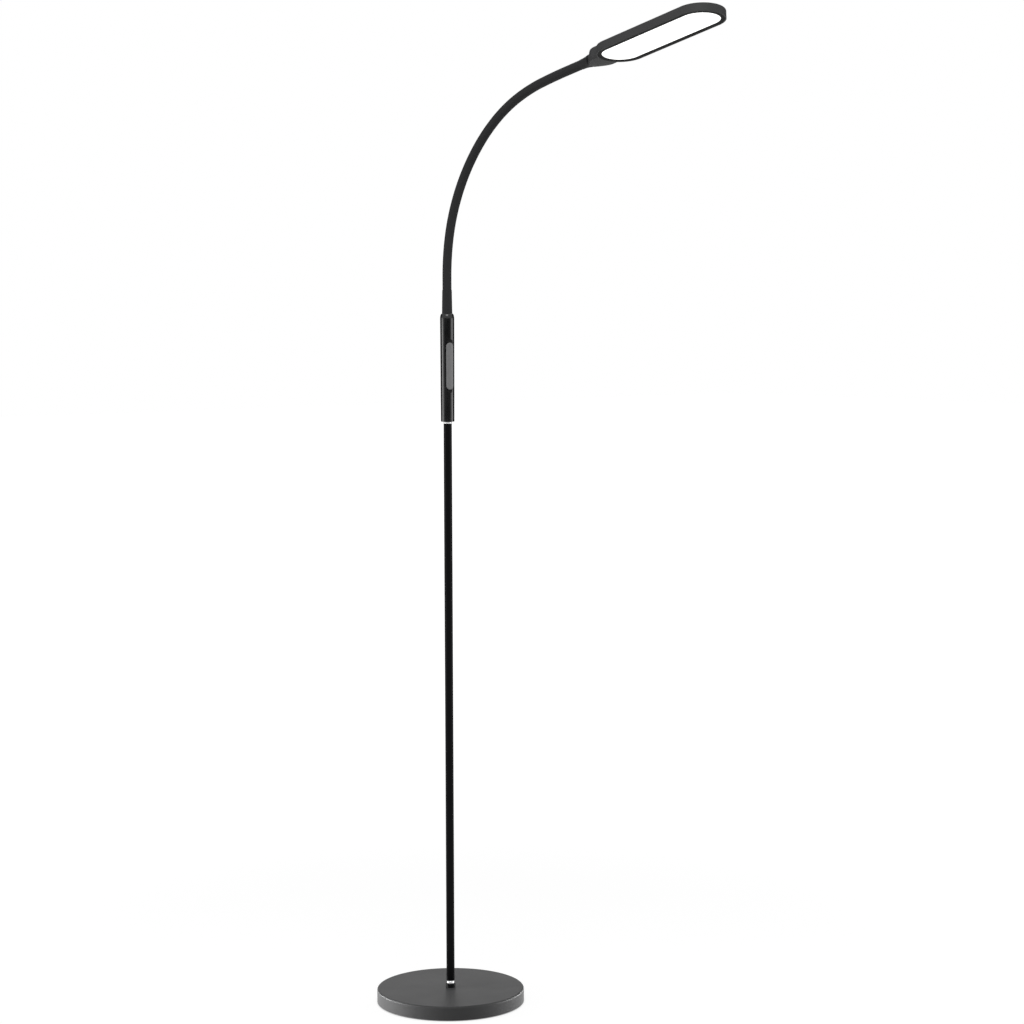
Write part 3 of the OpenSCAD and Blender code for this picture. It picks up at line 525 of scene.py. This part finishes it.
# ---- handset shells -------------------------------------------------------------
# Two half shells of gloss ABS, parted down the sides and held by four screws from
# behind; the front one has a flat recess and an opening for the key.


def stadium(name, long, wide, sides=64):
    """Draws a flat outline with two round ends, along X: a disc whose halves are moved apart."""
    bpy.ops.object.select_all(action="DESELECT")
    bpy.ops.mesh.primitive_circle_add(vertices=sides, radius=wide / 2, fill_type="NGON")
    piece = bpy.context.object
    piece.name = name
    bpy.ops.object.mode_set(mode="EDIT")
    bpy.ops.mesh.select_all(action="SELECT")
    bpy.ops.transform.rotate(value=math.pi / sides, orient_axis="Z", center_override=(0, 0, 0))
    for side in (-1, 1):
        pick(piece, "verts", lambda at: at.x * side > 0)
        bpy.ops.transform.translate(value=(side * (long - wide) / 2, 0, 0))
    bpy.ops.mesh.select_all(action="SELECT")
    return piece


def raise_face(by):
    """Extrudes the selected face straight up or down."""
    bpy.ops.mesh.extrude_region_move(TRANSFORM_OT_translate={"value": (0, 0, by)})


def round_rim(radius, steps, way=1):
    """Draws the selected face in and along, step by step, so that its rim becomes a round."""
    angles = [math.pi / 2 * k / steps for k in range(steps + 1)]
    for low, high in zip(angles, angles[1:]):
        bpy.ops.mesh.inset(thickness=radius * (math.cos(low) - math.cos(high)), depth=0)
        bpy.ops.transform.translate(value=(0, 0, way * radius * (math.sin(high) - math.sin(low))))


def close_mesh(piece):
    """Leaves edit mode with the faces of the whole piece turned outwards."""
    bpy.ops.mesh.select_all(action="SELECT")
    bpy.ops.mesh.normals_make_consistent(inside=False)
    if bmesh.from_edit_mesh(piece.data).calc_volume(signed=True) < 0:
        bpy.ops.mesh.flip_normals()
    bpy.ops.object.mode_set(mode="OBJECT")
    return piece


def prism(name, long, wide, low, high):
    """Makes a bar with round ends, along X, between two heights."""
    piece = stadium(name, long, wide)
    bpy.ops.transform.translate(value=(0, 0, low))
    raise_face(high - low)
    return close_mesh(piece)


def rod(name, radius, length, place, sides=48):
    """Makes a plain cutter that starts at a place and runs along its upright axis."""
    bpy.ops.object.select_all(action="DESELECT")
    bpy.ops.mesh.primitive_cylinder_add(vertices=sides, radius=radius, depth=length)
    piece = bpy.context.object
    piece.name = name
    piece.matrix_world = place @ Matrix.Translation((0, 0, length / 2))
    return piece


handset_z, handset_l, shell_wall, floor_t = pole_top + ring_t, 0.166, 0.0016, 0.003
foot_r, shoulder_r, mouth_r, shoulder_h, cavity_top = 0.01045, 0.0109, 0.0080, 0.008, 0.1525
shell_in_r = foot_r - shell_wall
key_l, key_w, key_z = 0.072, 0.0112, 0.0855
opening_l, opening_w = 0.0726, 0.0130
opening_in_x, past_shell = 0.0026, 0.03
recess_x, recess_end, recess_side = 0.00985, 0.005, 0.0005
seam, shell_foot_ease, shell_edge, shoulder_steps = 0.00004, 0.0006, 0.00015, 12
to_handset = Matrix.Translation((0, 0, handset_z)) @ Matrix.Rotation(math.radians(-15), 4, "Z")
facing_out = Matrix.Rotation(math.radians(-90), 4, "Y") @ Matrix.Rotation(math.pi, 4, "X")
handset_gloss = make_finish("handset_gloss", (0.004, 0.004, 0.0045), (0.006, 0.006, 0.0065),
                            (0.14, 0.20), grain=0.0012, cloud=0.03, depth=0.000006)


def half_shell(name, side):
    """Turns the barrel of the handset and parts it: one half stays, with a flat seam face."""
    shell = turn(name, [
        (bore_r, 0),
        (foot_r - shell_foot_ease, 0),
        *corner_arc((foot_r - shell_foot_ease, shell_foot_ease), shell_foot_ease, -60, 0, 4),
        *[(mouth_r + (shoulder_r - mouth_r) * math.cos(a), handset_l - shoulder_h + shoulder_h * math.sin(a))
          for a in [math.radians(90 * k / shoulder_steps) for k in range(shoulder_steps + 1)]],
        (mouth_r, cavity_top),
        (shell_in_r, cavity_top),
        (shell_in_r, floor_t),
        (bore_r, floor_t),
    ])
    bpy.ops.object.mode_set(mode="EDIT")
    bpy.ops.mesh.select_all(action="SELECT")
    bpy.ops.mesh.bisect(plane_co=(side * seam, 0, 0), plane_no=(-side, 0, 0),
                        use_fill=True, clear_outer=True)
    return close_mesh(shell)


handset_front = half_shell("handset_front_shell", 1)
opening = prism("opening", opening_l, opening_w, opening_in_x, past_shell)
opening.matrix_world = Matrix.Translation((0, 0, key_z)) @ facing_out
cut_away(handset_front, opening)
recess = prism("recess", key_l + 2 * recess_end, opening_w + 2 * recess_side, recess_x, past_shell)
recess.matrix_world = Matrix.Translation((0, 0, key_z)) @ facing_out
cut_away(handset_front, recess)
soften(handset_front, shell_edge, 2)
handset_front.matrix_world = to_handset
settle(handset_front, handset_gloss, "handset_gloss", "stand", "handset_front")

counterbore_r, counterbore_x, screw_y, screw_heights = 0.0023, -0.004, 0.0052, (0.017, handset_l - 0.027)
handset_rear = half_shell("handset_rear_shell", -1)
for y in (-screw_y, screw_y):
    for z in screw_heights:
        place = Matrix.Translation((counterbore_x, y, z)) @ Matrix.Rotation(math.radians(-90), 4, "Y")
        cut_away(handset_rear, rod("counterbore", counterbore_r, 0.02, place))
soften(handset_rear, shell_edge, 2)
handset_rear.matrix_world = to_handset
settle(handset_rear, handset_gloss, "handset_gloss", "stand", "handset_rear")

dress(zinc_steel, "handset_screws", "key_pin")
board_green = make_finish("board_green", (0.01, 0.07, 0.03), (0.015, 0.10, 0.04), (0.3, 0.4))
component_plastic = make_finish("component_plastic", (0.02, 0.018, 0.016),
                                (0.04, 0.036, 0.032), (0.4, 0.6))
dress(board_green, "circuit_board")
dress(component_plastic, "driver_parts", "key_switches", "key_bracket")

# ---- control key --------------------------------------------------------------------
# A long rocking key in satin grey ABS: its face follows the handset's round, its
# ends are rounded off, and it tips about a pin in the middle.
key_in_x, key_raise, key_face_x, key_edge = 0.0072, 0.0009, 0.009, 0.0006
face_laps, lap_w = 5, 0.0011
key = stadium("rocking_key", key_l, key_w)
bpy.ops.transform.translate(value=(0, 0, key_in_x))
raise_face(shoulder_r - key_in_x)
for _ in range(face_laps):
    bpy.ops.mesh.inset(thickness=lap_w, depth=0)
close_mesh(key)
key.matrix_world = Matrix.Translation((0, 0, key_z)) @ facing_out
bpy.ops.object.select_all(action="DESELECT")
key.select_set(True)
bpy.ops.object.transform_apply(location=True, rotation=True, scale=True)
face = key.vertex_groups.new(name="face")
face.add([v.index for v in key.data.vertices if v.co.x > key_face_x], 1.0, "REPLACE")
bpy.ops.object.select_all(action="DESELECT")
barrel_l = handset_l - shoulder_h
bpy.ops.mesh.primitive_cone_add(vertices=360, radius1=foot_r + key_raise, radius2=shoulder_r + key_raise,
                                depth=barrel_l, location=(0, 0, barrel_l / 2))
round_of_key = bpy.context.object
modify(key, "SHRINKWRAP", target=round_of_key, wrap_method="PROJECT", use_project_x=True,
       use_positive_direction=True, use_negative_direction=True, vertex_group="face")
bpy.data.objects.remove(round_of_key)
soften(key, key_edge, 4, angle=50)

# Behind the face, a lug hangs on the pin and two stems press the switches.
lug_x, lug_w, lug_h, stem_x, stem_r, stem_z = 0.0038, 0.004, 0.0032, 0.0062, 0.0018, 0.026
lug_bite, stem_bite, pin_x, pin_r, pin_cut_l = 0.0004, 0.0002, 0.0052, 0.0008, 0.02
bpy.ops.object.select_all(action="DESELECT")
bpy.ops.mesh.primitive_cube_add(size=1)
lug = bpy.context.object
lug.matrix_world = (Matrix.Translation(((lug_x + key_in_x) / 2, 0, key_z))
                    @ Matrix.Diagonal((key_in_x - lug_x + lug_bite, lug_w, lug_h, 1)))
join_on(key, lug)
for side in (-1, 1):
    foot = Matrix.Translation((stem_x, 0, key_z + side * stem_z)) @ Matrix.Rotation(math.pi / 2, 4, "Y")
    join_on(key, rod("stem", stem_r, key_in_x - stem_x + stem_bite, foot))
across = Matrix.Translation((pin_x, -pin_cut_l / 2, key_z)) @ Matrix.Rotation(-math.pi / 2, 4, "X")
cut_away(key, rod("pin_bore", pin_r, pin_cut_l, across))
soften(key, 0, angle=50)
key.matrix_world = to_handset
key_grey = make_finish("key_grey", (0.17, 0.17, 0.172), (0.20, 0.20, 0.203),
                       (0.42, 0.55), grain=0.0004, cloud=0.008, depth=0.00001)
settle(key, key_grey, "key_grey", "key", "control_key")

# ---- neck -----------------------------------------------------------------------------
# Ten hose links in one seamless matt sleeve, from a tapered lower ferrule in the
# handset to a flared one at the head; the LED lead runs through them all.
bends = [0, 10.5, 12.5, 11.5, 10.5, 11, 11.5, 8.5, 2.5, 0]
link, neck_z, neck_r = 0.0556, handset_z + handset_l, 0.0069
socket_depth, end_gap = 0.0095, 0.0072


def neck_run():
    """Middle-line points of the neck at every half link, with the lean at each, in degrees."""
    point, lean = Vector((0, 0, neck_z)), 0.0
    run = [(point.copy(), lean)]
    for bend in bends:
        for _ in range(2):
            turn_by = bend / 2
            chord = link / 2
            if turn_by:
                chord *= math.sin(math.radians(turn_by / 2)) / math.radians(turn_by / 2)
            way = math.radians(lean + turn_by / 2)
            point += chord * Vector((math.sin(way), 0, math.cos(way)))
            lean += turn_by
            run.append((point.copy(), lean))
    return run


halves = neck_run()
neck_end, head_lean = halves[-1]
at_neck_end = Matrix.Translation(neck_end) @ Matrix.Rotation(math.radians(head_lean), 4, "Y")


def run_on(way, length, steps):
    """Extrudes the selected ring straight on."""
    for _ in range(steps):
        bpy.ops.mesh.extrude_edges_move(TRANSFORM_OT_translate={"value": way * (length / steps)})


def hose(name, radius, joint, before, after, sides=48, steps=8):
    """Draws the hose over one joint, from the middle of one link to the middle of the next:
    a ring is spun round each half link's bend. The first hose starts before its link, and the
    last one ends a given length after the middle of its link."""
    first, last = 2 * joint - 1, 2 * joint + 1
    if joint == 1:
        first = 0
    start, lean = halves[first]
    way = Vector((math.sin(math.radians(lean)), 0, math.cos(math.radians(lean))))
    bpy.ops.object.select_all(action="DESELECT")
    bpy.ops.mesh.primitive_circle_add(vertices=sides, radius=radius)
    piece = bpy.context.object
    piece.name = name
    piece.matrix_world = (Matrix.Translation(start - (before * way if joint == 1 else Vector()))
                          @ Matrix.Rotation(math.radians(lean), 4, "Y"))
    bpy.ops.object.transform_apply(location=True, rotation=True, scale=True)
    bpy.ops.object.mode_set(mode="EDIT")
    bpy.ops.mesh.select_all(action="SELECT")
    if joint == 1:
        run_on(way, before, 2)
    for half in range(first, last):
        at, lean = halves[half]
        bend = math.radians(bends[half // 2] / 2)
        aside = Vector((math.cos(math.radians(lean)), 0, -math.sin(math.radians(lean))))
        way = Vector((math.sin(math.radians(lean)), 0, math.cos(math.radians(lean))))
        if bend:
            centre = at + aside * (link / 2 / bend)
            bpy.ops.mesh.spin(steps=steps, angle=-bend, center=centre, axis=(0, 1, 0))
        else:
            run_on(way, link / 2, steps)
    if joint == len(bends) - 1:
        run_on(way, after, steps)
    bpy.ops.mesh.select_mode(type="EDGE")
    bpy.ops.mesh.select_all(action="DESELECT")
    bpy.ops.mesh.select_non_manifold()
    bpy.ops.mesh.fill_holes(sides=0)
    return close_mesh(piece)


neck_sleeve = make_finish("neck_sleeve", (0.029, 0.029, 0.030), (0.036, 0.036, 0.037),
                          (0.60, 0.70), grain=0.0008, cloud=0.02, depth=0.00003, shine=0.06)
sleeve_wall, lead_r, lead_foot, lead_reach, lead_sides, lead_steps = 0.001, 0.0018, 0.0337, 0.0348, 12, 6
for joint in range(1, len(bends)):
    sleeve = hose("neck_sleeve_%d" % joint, neck_r, joint, socket_depth, link / 2 - end_gap)
    bpy.ops.object.mode_set(mode="EDIT")
    bpy.ops.mesh.select_all(action="DESELECT")
    bpy.ops.mesh.select_face_by_sides(number=4, type="GREATER")
    bpy.ops.mesh.delete(type="ONLY_FACE")
    bpy.ops.object.mode_set(mode="OBJECT")
    modify(sleeve, "SOLIDIFY", thickness=sleeve_wall, offset=-1)
    soften(sleeve, 0)
    lead = hose("inner_lead_%d" % joint, lead_r, joint, lead_foot, link / 2 + lead_reach,
                lead_sides, lead_steps)
    soften(lead, 0)
    nodes = ["neck_segment_%d" % joint] + (["neck_segment_10"] if joint == 9 else [])
    for piece, finish, slot, stood_for in (
        (sleeve, neck_sleeve, "neck_sleeve", nodes), (lead, lead_pvc, "lead_pvc", ["neck_lead"])
    ):
        settle(piece, finish, slot, None, *stood_for)
        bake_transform(piece)

ferrule_black = make_finish("ferrule_black", (0.026, 0.026, 0.027), (0.032, 0.032, 0.033),
                            (0.50, 0.60), grain=0.0008, cloud=0.02, depth=0.00003, shine=0.08)
low_ferrule_r, low_ferrule_l, ferrule_edge, lead_hole_r = 0.00795, 0.036, 0.0004, 0.0027
inner_flange_r, inner_flange_z, inner_flange_t = shell_in_r - 0.0003, -0.0165, 0.0028
lower_ferrule = turn("lower_ferrule_tapered", [
    (lead_hole_r, inner_flange_z),
    (inner_flange_r, inner_flange_z),
    (inner_flange_r, inner_flange_z + inner_flange_t),
    (low_ferrule_r, inner_flange_z + inner_flange_t),
    (low_ferrule_r, 0),
    *corner_arc((neck_r + slip_fit, low_ferrule_l - ferrule_edge), ferrule_edge, 0, 90, 5),
    (neck_r + slip_fit, -socket_depth),
    (lead_hole_r, -socket_depth),
])
soften(lower_ferrule, 0)
lower_ferrule.matrix_world = Matrix.Translation((0, 0, neck_z))
settle(lower_ferrule, ferrule_black, "ferrule_black", "stand", "lower_ferrule")

top_ferrule_l, top_ferrule_r, flare_r, flare_steps = 0.020, 0.0093, 0.0073, 12
spindle_r, spindle_seat_t = 0.0034, 0.005
upper_ferrule = turn("upper_ferrule_flared", [
    (neck_r + slip_fit, -top_ferrule_l),
    *[(flare_r + (top_ferrule_r - flare_r) * (k / flare_steps) ** 2,
       -top_ferrule_l + (top_ferrule_l - 2 * ferrule_edge) * k / flare_steps)
      for k in range(flare_steps + 1)],
    *corner_arc((top_ferrule_r - ferrule_edge, -ferrule_edge), ferrule_edge, 0, 90, 5),
    (spindle_r + slip_fit, 0),
    (spindle_r + slip_fit, -spindle_seat_t),
    (neck_r + slip_fit, -spindle_seat_t),
])
soften(upper_ferrule, 0)
upper_ferrule.matrix_world = at_neck_end
settle(upper_ferrule, ferrule_black, "ferrule_black", "neck_10", "upper_ferrule")
dress(zinc_steel, "swivel_spindle", "swivel_washer", "swivel_nut")

# ---- head --------------------------------------------------------------------------------
# A flat moulded housing with round ends, in one piece with the block that turns on
# the neck's spindle; it is open below, with a duct for the lead through the block.
head_l, head_w, head_top, head_bottom, head_wall = 0.233, 0.0714, 0.0032, -0.0092, 0.0018
edge_r, foot_round, head_edge, head_roll = 0.0022, 0.0004, 0.0002, -7.4
block_l, block_w, block_top, block_mouth_w, block_mouth_top = 0.0303, 0.041, 0.0087, 0.013, 0.0072
flare_l, flare_bend, roof_bend = 0.026, 0.85, 1.6
mouth_lift, mouth_lift_l = 0.0006, 0.007
tail_start, tail_l, tail_sink, tail_end = 0.002, 0.014, 0.0005, 0.022
block_round, stations = 0.003, 40
swivel_gap, swivel_wall = 0.0004, 0.010
head_middle = block_l + head_l / 2
in_head = (at_neck_end @ Matrix.Rotation(math.radians(-90), 4, "Y")
           @ Matrix.Rotation(math.radians(head_roll), 4, "X"))


def ease(share):
    """Share of a change that eases in and out."""
    return (1 - math.cos(math.pi * min(max(share, 0), 1))) / 2


def block_section(x):
    """Half width, floor and roof of the neck block at a distance from the ferrule."""
    half = (block_mouth_w + (block_w - block_mouth_w) * ease(max(x / flare_l, 0) ** flare_bend)) / 2
    floor = head_bottom + mouth_lift * (1 - ease(x / mouth_lift_l))
    if x < block_l:
        roof = block_mouth_top + (block_top - block_mouth_top) * ease((x / block_l) ** roof_bend)
    else:
        roof = block_top - (block_top - head_top + tail_sink) * ease((x - block_l - tail_start) / tail_l)
    return half, floor, roof


head = stadium("head_housing_shell", head_l, head_w, sides=128)
bpy.ops.transform.translate(value=(head_middle, 0, head_bottom + foot_round))
raise_face(head_top - head_bottom - foot_round - edge_r)
round_rim(edge_r, 8)
pick(head, "faces", lambda at: at.z < head_bottom + foot_round + 0.00001)
round_rim(foot_round, 3, way=-1)
close_mesh(head)

bpy.ops.object.select_all(action="DESELECT")
bpy.ops.mesh.primitive_plane_add(size=1)
block = bpy.context.object
block.name = "neck_block"
far = block_l + tail_end
half, low, high = block_section(far)
block.matrix_world = (Matrix.Translation((far, 0, (low + high) / 2)) @ Matrix.Rotation(math.pi / 2, 4, "Y")
                      @ Matrix.Diagonal((high - low, 2 * half, 1, 1)))
bpy.ops.object.transform_apply(location=True, rotation=True, scale=True)
bpy.ops.object.mode_set(mode="EDIT")
bpy.ops.mesh.select_all(action="SELECT")
bpy.ops.mesh.bevel(offset=block_round, segments=8, affect="VERTICES")
bpy.ops.mesh.select_all(action="SELECT")
for x in [far - (far - swivel_gap) * k / stations for k in range(1, stations + 1)]:
    new_half, new_low, new_high = block_section(x)
    raise_face(0)
    bpy.ops.transform.resize(value=(1, new_half / half, (new_high - new_low) / (high - low)),
                             center_override=(0, 0, 0))
    half, low, high = new_half, new_low, new_high
    now = [v.co for v in bmesh.from_edit_mesh(block.data).verts if v.select]
    middle = (max(at.z for at in now) + min(at.z for at in now)) / 2
    bpy.ops.transform.translate(value=(x - now[0].x, 0, (low + high) / 2 - middle))
close_mesh(block)

join_on(head, block)
roof_z, pocket_r, pocket_end, cut_past = head_top - head_wall, 0.00627, 0.0187, 0.001
along_head = Matrix.Rotation(math.pi / 2, 4, "Y")
cavity = prism("cavity", head_l - 2 * head_wall, head_w - 2 * head_wall, head_bottom - cut_past, roof_z)
cavity.matrix_world = Matrix.Translation((head_middle, 0, 0))
cut_away(head, cavity)
cut_away(head, rod("bore", spindle_r + slip_fit, swivel_wall + cut_past, along_head))
nut_seat = Matrix.Translation((swivel_wall, 0, 0)) @ along_head
cut_away(head, rod("pocket", pocket_r, pocket_end - swivel_wall, nut_seat))
duct_start, duct_end, duct_w, duct_floor, duct_roof = 0.0157, 0.0378, 0.011, -0.0062, 0.0026
bpy.ops.object.select_all(action="DESELECT")
bpy.ops.mesh.primitive_cube_add(size=1)
duct = bpy.context.object
duct.matrix_world = (Matrix.Translation(((duct_start + duct_end) / 2, 0, (duct_floor + duct_roof) / 2))
                     @ Matrix.Diagonal((duct_end - duct_start, duct_w, duct_roof - duct_floor, 1)))
cut_away(head, duct)
soften(head, head_edge, 2)
head.matrix_world = in_head
head_shell = make_finish("head_shell", (0.050, 0.050, 0.051), (0.060, 0.060, 0.061),
                         (0.50, 0.60), grain=0.0006, cloud=0.03, depth=0.00001, shine=0.1)
settle(head, head_shell, "head_shell", "head", "head_housing")

# ---- lit panel ---------------------------------------------------------------------------
# Aluminium board with white LED chips, a white ring wall, an opal acrylic panel and
# the thin black frame that clips into the housing and holds the panel by its step.
bezel_t, border_w, bezel_play, bezel_round, bezel_edge = 0.0018, 0.0075, 0.00015, 0.0003, 0.00015
flange_w, flange_t, panel_recess, panel_round = 0.0026, 0.0012, 0.0011, 0.0002


def head_outline(name, inset, sides=128):
    """Draws the head's outline, drawn in all round."""
    piece = stadium(name, head_l - 2 * inset, head_w - 2 * inset, sides)
    bpy.ops.transform.translate(value=(head_middle, 0, 0))
    return piece


bezel = head_outline("bezel_frame", head_wall + bezel_play)
bpy.ops.transform.translate(value=(0, 0, head_bottom + bezel_t))
raise_face(bezel_round - bezel_t)
round_rim(bezel_round, 3, way=-1)
close_mesh(bezel)
window = head_outline("window", border_w)
bpy.ops.transform.translate(value=(0, 0, head_bottom - cut_past))
raise_face(bezel_t + 2 * cut_past)
close_mesh(window)
cut_away(bezel, window)
soften(bezel, bezel_edge, 2)
bezel.matrix_world = in_head
bezel_black = make_finish("bezel_black", (0.001, 0.001, 0.001), (0.002, 0.002, 0.002),
                          (0.50, 0.60), shine=0.05)
settle(bezel, bezel_black, "bezel_black", "head", "bezel")

panel = head_outline("lit_panel", border_w - flange_w)
bpy.ops.transform.translate(value=(0, 0, head_bottom + bezel_t + flange_t))
raise_face(-flange_t)
bpy.ops.mesh.inset(thickness=flange_w + bezel_play, depth=0)
raise_face(panel_recess - bezel_t + panel_round)
round_rim(panel_round, 3, way=-1)
close_mesh(panel)
soften(panel, 0)
panel.matrix_world = in_head
diffuser_lit = make_finish("diffuser_lit", (0.8, 0.8, 0.8), (0.86, 0.86, 0.85), (0.4, 0.5))
shader = diffuser_lit.node_tree.nodes["Principled BSDF"]
shader.inputs["Emission Color"].default_value = (1, 1, 0.98, 1)
shader.inputs["Emission Strength"].default_value = 1.2
settle(panel, diffuser_lit, "diffuser_lit", "head", "diffuser")

led_board_white = make_finish("led_board_white", (0.7, 0.7, 0.68), (0.8, 0.8, 0.78), (0.4, 0.5))
led_phosphor = make_finish("led_phosphor", (0.75, 0.65, 0.2), (0.85, 0.75, 0.3), (0.3, 0.4))
reflector_white = make_finish("reflector_white", (0.8, 0.8, 0.8), (0.88, 0.88, 0.88), (0.5, 0.6))
dress(led_board_white, "led_board")
dress(led_phosphor, "led_chips")
dress(reflector_white, "reflector")
